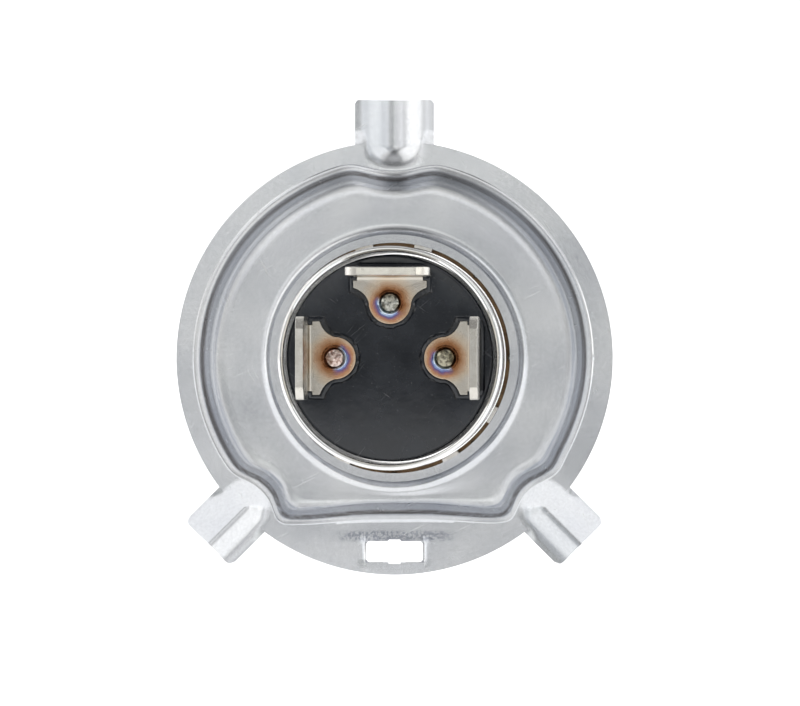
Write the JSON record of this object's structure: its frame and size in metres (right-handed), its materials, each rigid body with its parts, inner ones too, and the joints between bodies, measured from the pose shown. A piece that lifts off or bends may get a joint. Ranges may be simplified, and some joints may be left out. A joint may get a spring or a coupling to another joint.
{
  "type": "headlight bulb",
  "caption": "Twin-filament halogen headlight bulb: lugged flange cap, metal shell, blade terminals in a black insulator, and a glass envelope with a blackened tip.",
  "frame": {"origin": "on the bulb axis, in the reference plane that the undersides of the three lugs lie in", "axes": "+Y along the bulb axis towards the glass tip, terminals towards -Y, +Z towards the wide lug, which is up when fitted"},
  "size_m": [0.043, 0.0856, 0.0471],
  "materials": {
    "flange_steel": "satin stamped steel, fine rolled grain, small handling marks",
    "shell_chrome": "bright plated drawn steel",
    "holder_steel": "bright drawn steel",
    "black_resin": "glossy black moulded insulator with fine scratches",
    "terminal_nickel": "nickel-plated blade, heat-tinted round the weld",
    "weld_metal": "smooth solidified weld metal",
    "lead_wire": "drawn molybdenum wire",
    "molybdenum": "dull grey molybdenum sheet",
    "tungsten": "dark coiled tungsten wire",
    "clear_glass": "clear quartz glass",
    "black_coating": "matt black opaque coating"
  },
  "bodies": {
    "root": {"flange": "flange_steel", "alignment_ring": "holder_steel", "rear_shell": "shell_chrome", "holder_sleeve": "holder_steel", "pinch_clip": "holder_steel", "insulator": "black_resin", "terminal_top": "terminal_nickel", "terminal_right": "terminal_nickel", "terminal_left": "terminal_nickel", "weld_bead_top": "weld_metal", "weld_bead_right": "weld_metal", "weld_bead_left": "weld_metal", "lead_top": "lead_wire", "lead_right": "lead_wire", "lead_left": "lead_wire", "foil_top": "molybdenum", "foil_right": "molybdenum", "foil_left": "molybdenum", "support_left": "lead_wire", "support_right": "lead_wire", "support_centre": "lead_wire", "low_beam_shield": "molybdenum", "low_beam_filament": "tungsten", "high_beam_filament": "tungsten", "glass_envelope": "clear_glass", "tip_coating": "black_coating"}
  },
  "joints": []
}
